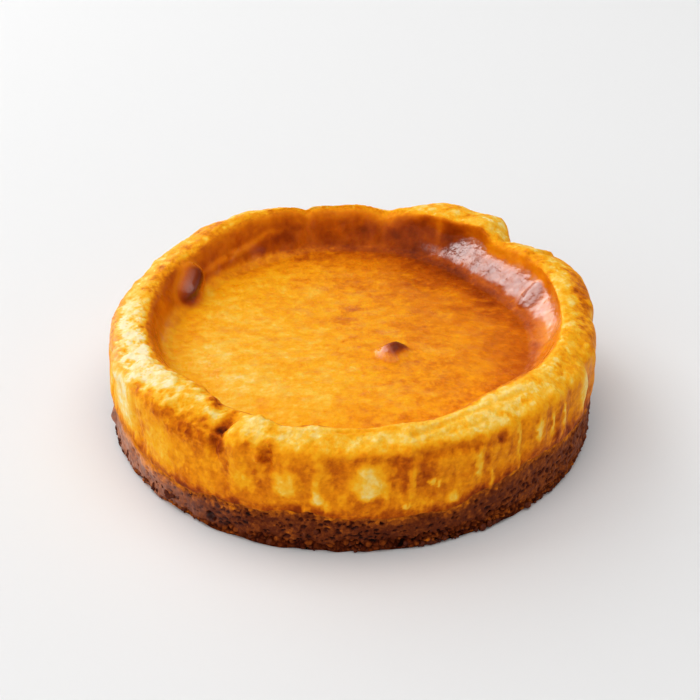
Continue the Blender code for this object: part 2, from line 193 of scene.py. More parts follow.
# The same on the sunken top: (x, y, half width, browning)
TOP_MARKS = (
    # The pale mark at (-24, -6) is a painted reflection, a whitish smear of sheen
    (-32.5, 11, 1, 0.2), (-29.5, 11.5, 0.9, 0.14), (-1, 14, 6, 0.14), (-24, -6, 3, -0.12),
    (36, 25, 11, 0.08), (25, 36, 9, 0.02), (12, 12, 9, -0.08), (-30, -30, 8, -0.08),
    (12.6, -5.6, 2.6, 0.36), (-12, 24, 6, -0.06), (-13, -27, 9, -0.08), (12, 0, 4, -0.08),
    (24, 12, 4, -0.06), (37, -24, 8, 0.12), (24, -24, 8, 0.06), (0, -36, 8, 0.04), (-37, 2, 7, 0.05),
)


def smooth(x):
    """Runs from 0 to 1 as x does, level at both ends."""
    x = np.clip(x, 0, 1)
    return x * x * (3 - 2 * x)


def rise(x, start, end):
    """Climbs smoothly from 0 at start to 1 at end."""
    return smooth((x - start) / (end - start))


def bell(x, middle, half_width):
    """1 at the middle, dying away smoothly to 0 half a width off."""
    return smooth(1 - np.abs(x - middle) / half_width)


def turn_from(angle, other):
    """The signed turn from `other` to `angle`, from -180 to 180 degrees."""
    return (angle - other + 180) % 360 - 180


def facing(angle, middle, half_width):
    """1 where `angle` is the middle one, dying away smoothly to 0 half a width off."""
    return bell(turn_from(angle, middle), 0, half_width)


def swollen(quantity, angle, swells=SWELLS):
    """What the swells add to one quantity of the outline at each angle."""
    total = 0
    for swell in swells:
        turn = turn_from(angle, swell.at)
        share = np.where(turn < 0, smooth(1 + turn / swell.before), smooth(1 - turn / swell.after))
        total = total + getattr(swell, quantity) * share
    return total


def hashed(cell, seed):
    """A repeatable number from -1 to 1 for each row of whole numbers."""
    mixed = cell[..., 0] * 73856093 ^ cell[..., 1] * 19349663 ^ cell[..., 2] * 83492791 ^ seed * 6542989
    mixed = (mixed ^ mixed >> 13) * 1274126177 & 0x7FFFFFFF
    mixed = (mixed ^ mixed >> 11) * 668265263 & 0x7FFFFFFF
    return (mixed >> 7 & 0xFFFF) / 0x7FFF - 1


def soft_noise(points, size, seed):
    """Smooth noise from about -1 to 1 whose bumps are about `size` across."""
    place = points / size
    corner = np.floor(place).astype(np.int64)
    weight = smooth(place - corner)
    total = 0
    for step in np.ndindex(2, 2, 2):
        near = np.where(step, weight, 1 - weight).prod(axis=-1)
        total = total + near * hashed(corner + step, seed)
    return total


def noise(points, size, seed, layers=3):
    """Noise with finer and weaker layers on it, from about -1 to 1."""
    total = sum(soft_noise(points, size / 2**k, seed + 31 * k) / 2**k for k in range(layers))
    return total / (2 - 0.5 ** (layers - 1))


def shifts(points, size, seeds):
    """Noise with a part for each seed, to shift places by."""
    return np.stack([noise(points, size, seed) for seed in seeds], axis=-1)


def cells(points, size, seed):
    """Of one seed point in each cube of `size`: the distance to the nearest, how much further the second
    is, both in sizes, and the nearest one's own number from 0 to 1."""
    place = points / size
    corner = np.floor(place).astype(np.int64)
    nearest = second = np.full(len(points), np.inf)
    number = np.zeros(len(points))
    for step in np.ndindex(3, 3, 3):
        cell = corner + np.array(step) - 1
        offset = np.stack([hashed(cell, seed + k) for k in range(3)], axis=-1) * 0.5 + 0.5
        distance = np.linalg.norm(cell + offset - place, axis=-1)
        closer = distance < nearest
        second = np.where(closer, nearest, np.minimum(second, distance))
        nearest = np.where(closer, distance, nearest)
        number = np.where(closer, hashed(cell, seed + 3) * 0.5 + 0.5, number)
    return nearest, second - nearest, number


def pits(points, size, seed, share, width):
    """1 in the middle of a pit and 0 outside; `share` of the cells have one, up to `width` sizes across."""
    distance, _, number = cells(points, size, seed)
    radius = width / 2 * (0.45 + 0.55 * number / share)
    return np.where(number < share, smooth(1 - distance / np.maximum(radius, 1e-3)), 0)


def patches(points, size, seed, start, edge):
    """Noise cut off at `start`, for patches with an edge: 0 outside and 1 inside them."""
    return rise(noise(points, size, seed), start, start + edge)


def on_plan(angle, radius, height):
    """The point at an angle and a radius on the plan, at a height."""
    turn = np.radians(angle)
    return np.stack(np.broadcast_arrays(radius * np.cos(turn), radius * np.sin(turn), height), axis=-1)


def plan_angle(points):
    return np.degrees(np.arctan2(points[:, 1], points[:, 0])) % 360


def joint_height(angle, share):
    """Top of the crumb base, `share` of the way out from the middle."""
    side = BASE_HEIGHT + swollen("rise", angle, BASE_SWELLS)
    return BASE_HEIGHT_INSIDE + (side - BASE_HEIGHT_INSIDE) * smooth(share)


def joint_edge(angle):
    """Height of the uneven line where the two layers meet at the side."""
    round_the_side = on_plan(angle, CAKE_RADIUS, 0)
    uneven = 0.45 * soft_noise(round_the_side, 3, 81) + 0.3 * soft_noise(round_the_side, 1.1, 83)
    return joint_height(angle, 1) + uneven


def side_radius(angle, swells=SWELLS):
    return CAKE_RADIUS + swollen("bulge", angle, swells)


def rim_knots(angle):
    """The (radius, height) knots from the top of the wall over the rim and down to the floor."""
    outside = side_radius(angle)
    crest = RIM_HEIGHT + swollen("rise", angle)
    lip = LIP_RADIUS + swollen("lip", angle)
    foot = FOOT_RADIUS + swollen("foot", angle)
    shoulder = outside - SHOULDER_WIDTH
    middle = (lip + shoulder) / 2
    halfway = (crest + FLOOR_HEIGHT) / 2
    return [
        np.stack(np.broadcast_arrays(*knot))
        for knot in (
            (outside, crest - 2 * SHOULDER_DROP),
            (outside, crest - SHOULDER_DROP),
            (outside - 0.22 * SHOULDER_WIDTH, crest - 0.42 * SHOULDER_DROP),
            (shoulder, crest - CROWN),
            (middle, crest),
            (lip + 0.2 * LIP_ROUNDING, crest - CROWN),
            (lip - 0.6 * LIP_ROUNDING, crest - LIP_ROUNDING),
            ((lip + foot) / 2 - 0.3 * LIP_ROUNDING, halfway),
            (foot, FLOOR_HEIGHT + 0.9 * FOOT_ROUNDING),
            (foot - FOOT_ROUNDING, FLOOR_HEIGHT + 0.15 * FOOT_ROUNDING),
            (foot - 3 * FOOT_ROUNDING, FLOOR_HEIGHT),
        )
    ]


def ring_angles(columns):
    return np.arange(columns) * 360 / columns


def joint_rings(columns):
    """(track, ring) pairs of the hidden joint between the layers, from the middle outwards."""
    pairs = []
    for share, fewer in ((0.3, 8), (0.62, 4), (0.88, 2), (0.97, 1)):
        angle = ring_angles(columns // fewer)
        pairs.append((HIDDEN_TRACK, on_plan(angle, share * CAKE_RADIUS, joint_height(angle, share))))
    return pairs


def rim_rings(angle):
    """(track, ring) pairs on the curve through the rim's knots, from the top of the wall to the floor."""
    knots = rim_knots(angle)
    pairs = []
    for k, steps in enumerate(RIM_STEPS):
        before, start, end, after = knots[k : k + 4]
        slope_in, slope_out = (end - before) / 2, (after - start) / 2
        bend = 3 * (end - start) - 2 * slope_in - slope_out
        twist = 2 * (start - end) + slope_in + slope_out
        for t in np.arange(steps) / steps:
            row = start + t * slope_in + t**2 * bend + t**3 * twist
            pairs.append((k + 1 + t, on_plan(angle, *row)))
    return [*pairs, (FLOOR_EDGE_KNOT, on_plan(angle, *knots[FLOOR_EDGE_KNOT]))]


def floor_rings(edge):
    """(track, ring) pairs from inside the floor's edge, a radius for each column, to its middle."""
    pairs = []
    columns = COLUMNS
    narrowest = edge.min()
    count = int(narrowest / FLOOR_RING_STEP)
    for k in range(1, count):
        share = 1 - k / count
        if 2 * np.pi * narrowest * share / columns < LEAST_SPACING:
            columns //= 2
        angle = ring_angles(columns)
        radius = share * (narrowest + (edge[:: COLUMNS // columns] - narrowest) * rise(share, 0.6, 1))
        moat = FLOOR_MOAT * rise(radius / narrowest, 0.6, 1) * (1 - 0.7 * facing(angle, 80, 50))
        pairs.append((10 - share, on_plan(angle, radius, FLOOR_HEIGHT - moat)))
    return pairs


def filling_rings():
    """(track, ring) pairs of the filling, from its underside round to the middle of its floor."""
    angle = ring_angles(COLUMNS)
    low, high = joint_edge(angle), rim_knots(angle)[WALL_TOP_KNOT][1]
    narrow, wide = side_radius(angle, BASE_SWELLS), side_radius(angle)
    pairs = joint_rings(COLUMNS)
    for share in np.arange(WALL_ROWS) / WALL_ROWS:
        radius, height = narrow + (wide - narrow) * smooth(share), low + (high - low) * share
        pairs.append((share, on_plan(angle, radius, height)))
    pairs += rim_rings(angle)
    return pairs + floor_rings(rim_knots(angle)[FLOOR_EDGE_KNOT][0])


def base_rings():
    """(track, ring) pairs of the crumb base; the track runs from 0 at the table to 1 at the joint."""
    angle = ring_angles(BASE_COLUMNS)
    outside = side_radius(angle, BASE_SWELLS)
    top = joint_edge(angle)
    pairs = [
        (HIDDEN_TRACK, on_plan(ring_angles(BASE_COLUMNS // fewer), share * CAKE_RADIUS, 0))
        for share, fewer in ((0.5, 4), (0.9, 2))
    ]
    pairs.append((HIDDEN_TRACK, on_plan(angle, outside - 2 * BASE_EDGE_ROUNDING, 0)))
    for share in np.arange(BASE_ROWS + 1) / BASE_ROWS:
        rounding = BASE_EDGE_ROUNDING * (1 - rise(share, 0, BASE_EDGE_ROUNDING / 5))
        pairs.append((share, on_plan(angle, outside - rounding, top * share)))
    return pairs + joint_rings(BASE_COLUMNS)[::-1]


def strip(first, second):
    """Faces between two rings of vertex numbers, where one may have twice as many as the other."""
    if len(first) < len(second):
        return [face[::-1] for face in strip(second, first)]
    ratio = len(first) // len(second)
    faces = []
    for k, near in enumerate(second):
        across = second[(k + 1) % len(second)]
        a, b = first[ratio * k], first[(ratio * k + 1) % len(first)]
        if ratio == 1:
            faces.append((a, b, across, near))
        else:
            c = first[(ratio * k + 2) % len(first)]
            faces += [(a, b, near), (b, across, near), (b, c, across)]
    return faces


class Skin:
    """A closed mesh through rings, with each vertex's place on the profile and round the cake."""

    def __init__(self, name, pairs):
        tracks, rings = zip(*pairs)
        counts = [len(ring) for ring in rings]
        starts = np.cumsum([0, *counts])
        numbers = [list(range(start, start + len(ring))) for start, ring in zip(starts, rings)]
        self.faces = [face for pair in zip(numbers, numbers[1:]) for face in strip(*pair)]
        self.faces += [(starts[-1], b, a) for a, b in zip(numbers[0], numbers[0][1:] + numbers[0][:1])]
        self.faces += [(starts[-1] + 1, a, b) for a, b in zip(numbers[-1], numbers[-1][1:] + numbers[-1][:1])]
        middles = [(0, 0, ring[:, 2].mean()) for ring in (rings[0], rings[-1])]
        self.points = np.concatenate([*rings, middles])
        self.track = np.concatenate([np.repeat(tracks, counts), [tracks[0], tracks[-1]]])
        self.mesh = bpy.data.meshes.new(name)
        self.mesh.from_pydata((self.points * MM).tolist(), [], self.faces)
        self.mesh.update()

    @property
    def angle(self):
        return plan_angle(self.points)

    @property
    def radius(self):
        return np.hypot(*self.points.T[:2])

    @property
    def outwards(self):
        """The level direction away from the middle."""
        return self.points * (1, 1, 0) / np.maximum(self.radius, 1)[:, None]

    @property
    def normals(self):
        normals = np.empty(len(self.points) * 3)
        self.mesh.vertex_normals.foreach_get("vector", normals)
        return normals.reshape(-1, 3)

    def push(self, heights, directions=None):
        """Moves each vertex along its direction, or else its normal, but not out of the CAD's box."""
        directions = self.normals if directions is None else directions
        self.points = np.clip(self.points + directions * heights[:, None], BOX_LOW, BOX_HIGH)
        self.mesh.vertices.foreach_set("co", (self.points * MM).ravel())
        self.mesh.update()


def store(mesh, name, values):
    """Keeps one number a vertex for the material's nodes."""
    mesh.attributes.new(name, "FLOAT", "POINT").data.foreach_set("value", values.astype(np.float32))


def stroke_relief(points, strokes):
    """The height that the strokes add at each point."""
    total = 0
    for stroke in strokes:
        start, end = on_plan(*stroke.start), on_plan(*stroke.end)
        run = end - start
        along = np.clip((points - start) @ run / max(run @ run, 1e-6), 0, 1)
        away = np.linalg.norm(points - start - along[:, None] * run, axis=1)
        total += stroke.height * smooth(1 - away / stroke.half_width)
    return total


def stroke_share(points, stroke, **changes):
    """1 in the middle of a stroke and 0 outside it, with changes to the stroke's own numbers."""
    return stroke_relief(points, [stroke._replace(height=1, **changes)])


def dome_relief(points):
    """What makes the three blisters round domes instead of the CAD's softer bells."""
    total = 0
    for stroke, rounder in zip(STROKES[:3], (0.12, 0.4, 0.4)):
        share = stroke_share(points, stroke)
        away = 0.5 - np.sin(np.arcsin(np.clip(1 - 2 * share, -1, 1)) / 3)
        dome = np.sqrt(np.clip(1 - ((1 - away) / 0.76) ** 2, 0, 1))
        total += stroke.height * rounder * (0.86 * dome - share)
    return total


def pleat_relief(skin):
    """The baking paper's pleats, as in the CAD."""
    draw = np.random.default_rng(PLEAT_SEED)
    step = PLEATS_BEHIND_TURN / PLEAT_COUNT_BEHIND
    behind = []
    for k in range(PLEAT_COUNT_BEHIND):
        middle = PLEATS_BEHIND_START + step * (k + draw.uniform(0.2, 0.8))
        behind.append((middle, draw.uniform(2.5, 5), draw.uniform(-1.2, 1.2)))
    pleats = [*FRONT_PLEATS, *behind]
    depth = sum(share * facing(skin.angle, at, width) for at, width, share in pleats)
    fade_in = rise(skin.points[:, 2], BASE_HEIGHT, BASE_HEIGHT + 8)
    on_wall = smooth((skin.radius - CAKE_RADIUS + SHOULDER_WIDTH) / SHOULDER_WIDTH)
    return PLEAT_DEPTH * depth * fade_in * on_wall


def skin_relief(skin):
    """The slow waves and small lumps of the baked skin, as in the CAD."""
    share = FLOOR_RELIEF_SHARE + (1 - FLOOR_RELIEF_SHARE) * rise(skin.radius, 44, 50)
    waves = SKIN_WAVE_HEIGHT * soft_noise(skin.points * MM, SKIN_WAVE_SIZE * MM, seed=1)
    lumps = SKIN_LUMP_HEIGHT * soft_noise(skin.points * MM, SKIN_LUMP_SIZE * MM, seed=2)
    return share * (waves + lumps)


def marked(angle, place, mark):
    """The browning that one mark gives each place: all of it inside, and less over a soft edge."""
    middle, height, half_width, half_length, browning = mark
    away = np.hypot(turn_from(angle, middle) / half_width, (place - height) / half_length)
    return browning * smooth((1.3 - away) / 0.8)


def marks_at(angle, place, marks):
    """The sum of the marks' browning."""
    return sum(marked(angle, place, mark) for mark in marks)


def marks_behind():
    """Marks for the stretch of wall that the photo doesn't show, like those that it does."""
    draw = np.random.default_rng(MARK_SEED)
    marks = []
    for _ in range(MARK_COUNT_BEHIND):
        shape = [draw.uniform(*ends) for ends in ((-5, 195), (13, 25), (1.2, 4), (2.5, 8))]
        marks.append((*shape, draw.choice([-0.2, -0.13, 0.08, 0.12])))
    return marks


class Nodes:
    """Short ways to add and link the nodes of a material or of the world."""

    def __init__(self, owner, shader="Principled BSDF"):
        self.owner = owner
        owner.use_nodes = True
        self.tree = owner.node_tree
        self.shader = self.tree.nodes[shader]

    def feed(self, node, inputs):
        """Links each input that has a socket given for it, and sets the others to their values."""
        for key, value in inputs.items():
            if isinstance(value, bpy.types.NodeSocket):
                self.tree.links.new(value, node.inputs[key])
            else:
                node.inputs[key].default_value = value

    def add(self, kind, output, inputs=None, **settings):
        """One output of a new node."""
        node = self.tree.nodes.new(kind)
        for key, value in settings.items():
            setattr(node, key, value)
        self.feed(node, inputs or {})
        return node.outputs[output]

    def attribute(self, name):
        return self.add("ShaderNodeAttribute", "Fac", attribute_name=name)

    def noise(self, size, detail=2, roughness=0.55):
        """Noise from 0 to 1 whose bumps are `size` millimetres across."""
        place = {"Vector": self.add("ShaderNodeTexCoord", "Object"), "Scale": [1 / MM] * 3}
        place = self.add("ShaderNodeMapping", "Vector", place)
        inputs = {"Vector": place, "Scale": 0.5 / size, "Detail": detail, "Roughness": roughness}
        return self.add("ShaderNodeTexNoise", "Fac", inputs)

    def math(self, operation, first, second, clamp=False):
        inputs = {0: first, 1: second}
        return self.add("ShaderNodeMath", "Value", inputs, operation=operation, use_clamp=clamp)

    def span(self, value, low, high, to_low, to_high):
        inputs = {"Value": value, "From Min": low, "From Max": high, "To Min": to_low, "To Max": to_high}
        return self.add("ShaderNodeMapRange", "Result", inputs)

    def swing(self, value, amount):
        """Noise, which is mostly from 0.35 to 0.65, turned into a swing from -amount to amount."""
        return self.span(value, 0.35, 0.65, -amount, amount)

    def ramp(self, value, stops):
        """A colour ramp through (place, colour) stops from 0 to 1, each colour as it shows on a screen."""
        node = self.tree.nodes.new("ShaderNodeValToRGB")
        self.feed(node, {"Fac": value})
        elements = node.color_ramp.elements
        for place, _ in stops[1:-1]:
            elements.new(place)
        for element, (_, colour) in zip(elements, stops):
            element.color = (*linear(colour), 1)
        return node.outputs["Color"]

    def bump(self, height, distance):
        """A bump whose height, from 0 to 1, stands for a distance in metres."""
        return self.add("ShaderNodeBump", "Normal", {"Height": height, "Distance": distance})


def linear(colour):
    """A screen colour from 0 to 255 as the linear colour that Blender's sockets take."""
    share = np.array(colour) / 255
    return tuple(np.where(share <= 0.04045, share / 12.92, ((share + 0.055) / 1.055) ** 2.4))


BAKED_COLOURS = (
    (0, (255, 236, 190)), (0.12, (255, 218, 126)), (0.24, (255, 195, 62)), (0.36, (255, 174, 22)),
    (0.48, (246, 153, 12)), (0.6, (224, 123, 6)), (0.72, (190, 88, 4)), (0.82, (154, 61, 3)),
    (0.92, (110, 37, 4)), (1, (62, 20, 6)),
)
CRUMB_COLOURS = (
    (0, (22, 5, 2)), (0.22, (66, 18, 4)), (0.45, (98, 38, 9)), (0.65, (140, 66, 18)),
    (0.85, (192, 100, 16)), (1, (226, 132, 12)),
)


def filling_material(name, specular, matte, glossy, translucent):
    """Baked curd: browning picks the colour, gloss the roughness and glaze the shine on top."""
    m = Nodes(bpy.data.materials.new(name))
    fine, coarse = m.noise(0.45, detail=3, roughness=0.6), m.noise(1.2)
    speckle = m.math("ADD", m.swing(fine, 0.035), m.swing(coarse, 0.06))
    mottled = m.math("MULTIPLY", m.attribute("mottle"), speckle)
    level = m.math("ADD", m.attribute("browning"), mottled, clamp=True)
    gloss = m.span(m.attribute("gloss"), 0, 1, matte, glossy)
    grain = m.noise(0.5, detail=4, roughness=0.6)
    inputs = {
        "Base Color": m.ramp(level, BAKED_COLOURS),
        "Roughness": m.math("ADD", gloss, m.swing(m.noise(1.4), 0.05)),
        "Normal": m.bump(grain, m.attribute("grain_depth")),
        "IOR": 1.48,
        "Specular IOR Level": specular,
        "Coat Weight": m.attribute("glaze"),
        "Coat Roughness": 0.12,
        "Coat IOR": 2.3,
        "Coat Normal": m.bump(m.noise(1.1, detail=3), 0.4 * MM),
        "Subsurface Weight": translucent,
        "Subsurface Radius": (1.5, 0.6, 0.15),
        "Subsurface Scale": MM,
    }
    m.feed(m.shader, inputs)
    return m.owner


def crumb_material():
    """Pressed biscuit crumb: tone picks the colour, with buttery patches and dark pits."""
    m = Nodes(bpy.data.materials.new("biscuit_crumb"))
    grain = m.swing(m.noise(0.5, detail=3, roughness=0.6), 0.1)
    gloss = m.span(m.attribute("gloss"), 0, 1, 0.75, 0.45)
    inputs = {
        "Base Color": m.ramp(m.math("ADD", m.attribute("tone"), grain, clamp=True), CRUMB_COLOURS),
        "Roughness": m.math("ADD", gloss, m.swing(m.noise(0.8), 0.05)),
        "Normal": m.bump(m.noise(0.45, detail=4), 0.35 * MM),
        "IOR": 1.45,
        "Specular IOR Level": 0.05,
        "Coat Weight": m.attribute("glaze"),
        "Coat Roughness": 0.3,
        "Coat IOR": 1.8,
    }
    m.feed(m.shader, inputs)
    return m.owner


def base_pits():
    """Pits in the crumb, in clusters and alone, as marks whose browning is a depth in millimetres."""
    draw = np.random.default_rng(PIT_SEED)
    degree = np.pi * CAKE_RADIUS / 180
    clusters = [(draw.uniform(0, 360), draw.uniform(2, 9)) for _ in range(PIT_COUNT // 6)]
    made = [(238, 3.4, 1.2, 1.3, 1.4), (280.5, 1.6, 1.3, 1.2, 1.4)]
    for k in range(PIT_COUNT):
        middle, height = clusters[k % len(clusters)]
        if k % 5 < 2:
            middle, height = draw.uniform(0, 360), draw.uniform(0.5, 11)
        angle = (middle + draw.normal(0, 2.2 / degree)) % 360
        height = min(height + draw.normal(0, 1.5), joint_height(angle, 1) + 1.2)
        size = 0.18 + 0.34 * draw.random() ** 2
        if draw.random() < 0.75 * facing(angle, 212, 50):
            continue
        wide = size * draw.uniform(1, 2) / degree
        made.append((angle, height, wide, size * draw.uniform(0.7, 1.1), draw.uniform(0.25, 0.6)))
    return made


BASE_PITS = base_pits()


def pit_depths(angle, height):
    """The depth of the deepest pit at each place, in millimetres."""
    depth = np.zeros(len(angle))
    for pit in BASE_PITS:
        _, middle, _, half_length, _ = pit
        near = np.flatnonzero(np.abs(height - middle) < 1.4 * half_length)
        depth[near] = np.maximum(depth[near], marked(angle[near], height[near], pit))
    return depth


def make_filling():
    skin = Skin("cheesecake_skin", filling_rings())
    over_joint = skin.points[:, 2] - joint_height(skin.angle, 1)
    # How free the skin is to move: 0 at the joint and under it, and 1 well above it
    free = (skin.normals[:, 2] > -0.7) * (skin.track > HIDDEN_TRACK) * smooth(over_joint / 3 + 0.2)
    blisters = blister_browning_and_painted_shade(skin.points)
    large = stroke_relief(skin.points, STROKES) + dome_relief(skin.points)
    skin.push((large + pleat_relief(skin) + skin_relief(skin)) * free)
    pale = curd_patches(skin)
    add_fine_relief(skin, free, pale)
    colour_filling(skin, over_joint, pale, blisters)
    side = filling_material("baked_side", specular=0.05, matte=0.52, glossy=0.4, translucent=0.25)
    top = filling_material("browned_top", specular=0.06, matte=0.42, glossy=0.26, translucent=0.3)
    finish_piece(skin.mesh, [side, top], "cheesecake")
    # The first material is the side's and the second the top's, from the lip inwards
    inside = [int(skin.track[list(face)].mean() > LIP_TRACK) for face in skin.faces]
    skin.mesh.polygons.foreach_set("material_index", inside)


def curd_patches(skin):
    """1 where pale curd shows through the browned skin of the wall and the rim."""
    shape = patches(skin.points * (1, 1, 0.45), 2.6, 101, 0.18, 0.22)
    where = 0.35 + 0.65 * facing(skin.angle, 266, 34) + 0.4 * facing(skin.angle, 212, 30)
    return shape * np.clip(where, 0, 1) * (1 - rise(skin.track, 4.6, 5.4))


def burnt_curd(points, angle, track):
    """How browned the curd by the fold is, and where it has clotted, from 0 to 1 each."""
    jitter = shifts(points, 2, (105, 106))
    where = marks_at(angle + 1.2 * jitter[:, 0], points[:, 2] + jitter[:, 1], BURNT_MARKS)
    clots = patches(points * (1, 1, 0.8), 1.2, 104, -0.12, 0.3)
    return np.clip(where, 0, 1.2) * (1 - rise(track, 3.2, 4)), clots


def curd_hollows(points):
    """1 in the small yellow hollows between the pale curds of the rim."""
    return patches(points, 1.3, 103, 0.08, 0.07)


def add_fine_relief(skin, free, pale):
    """Wrinkles on the wall, curd and pits on the rim, and the floor's faint cells."""
    points, angle, track = skin.points, skin.angle, skin.track
    burnt, clots = burnt_curd(points, angle, track)
    on_wall = 1 - rise(track, 1.2, 2.6)
    on_rim = rise(track, 1.2, 2.4) * (1 - rise(track, 5, 6))
    on_slope = rise(track, 5, 6.2) * (1 - rise(track, 8, 9))
    on_floor = rise(track, 8, 9.2)
    wrinkled = 0.5 + 1.1 * facing(angle, 216, 32) + facing(angle, 334, 22)
    wrinkles = 0.18 * wrinkled * noise(points * (1, 1, 0.16), 1.7, 11)
    nearest, _, _ = cells(points, CURD_SIZE, CURD_SEED)
    curd = 0.34 * (0.55 - nearest) - 0.3 * curd_hollows(points) + 0.16 * noise(points, 1.4, 13)
    rough_curd = 0.42 + 0.35 * facing(angle, 205, 50)
    rim_pits = 0.55 * pits(points, 2.6, 17, 0.3, 0.8)
    wall_pits = 0.5 * pits(points * (1, 1, 0.7), 2.6, 19, 0.24, 0.6)
    floor = 0.12 * noise(points, 6, 27) + 0.1 * noise(points, 2.2, 29, 2)
    slope = 0.26 * noise(points, 3.4, 31) + 0.12 * noise(points, 1.6, 32)
    window_side = smooth(2.2 - np.abs(turn_from(angle, 36)) / 22) + 0.6 * facing(angle, 52, 16)
    right = facing(angle, 4, 34)
    chamfer = (0.8 * window_side + 1.3 * right) * bell(track, 7.1, 1.7) + 1.1 * right * bell(track, 5.8, 1.3)
    chamfer += 0.8 * window_side * bell(track, 6.8, 1.1)
    skin.push(chamfer * free, skin.outwards)
    uneven_foot = (0.35 * noise(points, 6, 37) + 0.12 * noise(points, 2.2, 39)) * bell(track, 8.2, 1.8)
    drips = np.clip(-marks_at(angle, points[:, 2], WALL_MARKS), -0.2, 0.3)
    relief = (
        on_wall * (wrinkles - wall_pits + drips + 0.14 * noise(points, 1.3, 33) - 0.1)
        + on_rim * (rough_curd * (curd - rim_pits) + 0.1 * noise(points, 3, 35) - 0.1)
        + 0.2 * pale
        + burnt * (0.55 * clots - 0.3)
        + on_slope * slope
        + on_floor * floor
    )
    skin.push((relief + uneven_foot + stroke_relief(points, FINE_STROKES)) * free)
    store(skin.mesh, "grain_depth", MM * (0.3 + 0.25 * on_rim - 0.18 * on_slope - 0.1 * on_floor))


class Places:
    """Where the filling's vertices are, and the same places shifted a little, for ragged edges."""

    def __init__(self, skin):
        self.points, self.angle, self.track, self.radius = skin.points, skin.angle, skin.track, skin.radius
        self.warp = 0.9 * shifts(self.points, 3, (41, 43, 45))
        self.warp += 0.8 * shifts(self.points, 1.1, (42, 44, 46))
        self.warped = self.points + self.warp
        self.warped_angle = plan_angle(self.warped)
        self.warped_track = self.track + 0.35 * self.warp[:, 2]
        self.clumps = noise(self.points, 1.5, 48)
        self.left = facing(self.angle, 200, 44)
        self.front = facing(self.angle, 290, 60)
        self.behind = facing(self.angle, 92, 80)
        # How blotchy the sunken top is: it is baked more evenly at the back right
        self.blotchy = 1 - 0.5 * rise(self.points[:, 0] + 0.6 * self.points[:, 1], 8, 34)


def wall_browning(at, over_joint):
    """Streaks and marks, browner towards the crumb."""
    points, angle, z = at.points, at.angle, at.points[:, 2]
    streaks = noise(points * (1, 1, 0.25), 2.2, 47)
    wall = 0.52 + 0.05 * streaks + 0.04 * at.clumps + 0.07 * noise(points * (1, 1, 0.5), 7, 50)
    marks = [*WALL_MARKS, *marks_behind()]
    wall += marks_at(at.warped_angle, at.warped[:, 2], marks) * (1.15 + 0.3 * at.clumps)
    wall += 0.05 * patches(points * (1, 1, 0.35), 1.8, 61, 0.1, 0.12)
    wall -= 0.08 * patches(points * (1, 1, 0.7), 1.2, 62, 0.18, 0.1)
    to_crumb = 3.2 + 2 * facing(angle, 322, 34) + 1.2 * facing(angle, 225, 34)
    wall += 0.05 * facing(angle, 290, 16) * (1 - rise(z, 19, 22))
    wall += 0.27 * (1 - rise(over_joint + 1.2 * at.clumps + at.warp[:, 2], -0.4, to_crumb))
    # Browner in the crumb's pits that reach over the joint: partly a darker crumb, partly painted shade
    wall += 0.22 * pit_depths(angle, z)
    # Paler at the left: partly a paler cream, partly a painted sheen of the window's light
    wall -= 0.14 * facing(angle, 203, 30) - 0.06 * facing(angle, 252, 20) * rise(z, 19, 22)
    return wall


def crest_browning(at):
    """The rim: creamy at the left with yellow hollows between the curds, and plainer at the front."""
    points, angle, left, front = at.points, at.angle, at.left, at.front
    crest = 0.27 - 0.17 * left - 0.03 * front + 0.1 * noise(points, 4, 49)
    varied = 1 - 0.6 * facing(angle, 275, 36)
    crest += 0.09 * varied * noise(points, 1.7, 66)
    # The yellow hollows between the curds: partly their own colour, partly painted shade
    crest += (0.06 + 0.18 * left) * varied * curd_hollows(points)
    _, seam, _ = cells(points + 0.5 * at.warp, CURD_SIZE, CURD_SEED)
    seams = (0.04 + 0.1 * left) * (1 - rise(seam, 0, 0.22))
    crest += seams * patches(points, 3, 59, -0.2, 0.3) - 0.04 * front
    crest += 0.05 * facing(angle, 278, 30) - 0.15 * varied * patches(points, 1.7, 64, 0.12, 0.1)
    crest += marks_at(at.warped_angle, at.warped_track, RIM_MARKS)
    crest += (0.12 - 0.06 * front) * varied * patches(points, 2.4, 54, 0.12, 0.3)
    crest += 0.2 * facing(angle, 5, 60) * (1 - rise(at.warped_track, 2.4, 3.4))
    crest += 0.16 * left * rise(at.warped_track, 4.1, 4.6)
    return crest


def slope_browning(at):
    """The slope inside the rim: darker towards its foot at the back, partly as painted shade, and paler at
    the front and left, as painted light on the strip of slope seen edge-on.
    """
    points, angle, track = at.points, at.angle, at.track
    high_up = rise(points[:, 2], 20.5, 26)
    # Darker towards the foot at the back: partly real browning, partly painted shade where the slope meets
    # the floor
    slope = 0.62 + 0.05 * high_up * (1 - at.behind) + at.behind * (0.3 * rise(track, 5.2, 7.2) - 0.12)
    slope += 0.07 * noise(points, 4, 51) + 0.07 * noise(points * (1, 1, 0.3), 3, 60)
    dark_patches = facing(at.warped_angle, 70, 10) + facing(at.warped_angle, 57, 7)
    slope += 0.1 * dark_patches * rise(track, 5.4, 6.6) + 0.08 * facing(angle, 154, 14)
    slope += 0.16 * facing(angle, 32, 34) * bell(track, 7.5, 1.2)
    slope += 0.06 * noise(points, 1.6, 56) - 0.1 * facing(angle, 358, 28) * high_up
    slope -= 0.12 * smooth(2.2 - np.abs(turn_from(angle, 33)) / 8.5) * (1 - rise(track, 6.6, 7.4))
    # Paler at the front and the near left: painted light that lifts the shade on the strip of slope seen
    # edge-on behind the lip
    slope -= 0.06 * facing(angle, 352, 30) + 0.14 * at.front + 0.18 * facing(angle, 224, 34)
    return slope


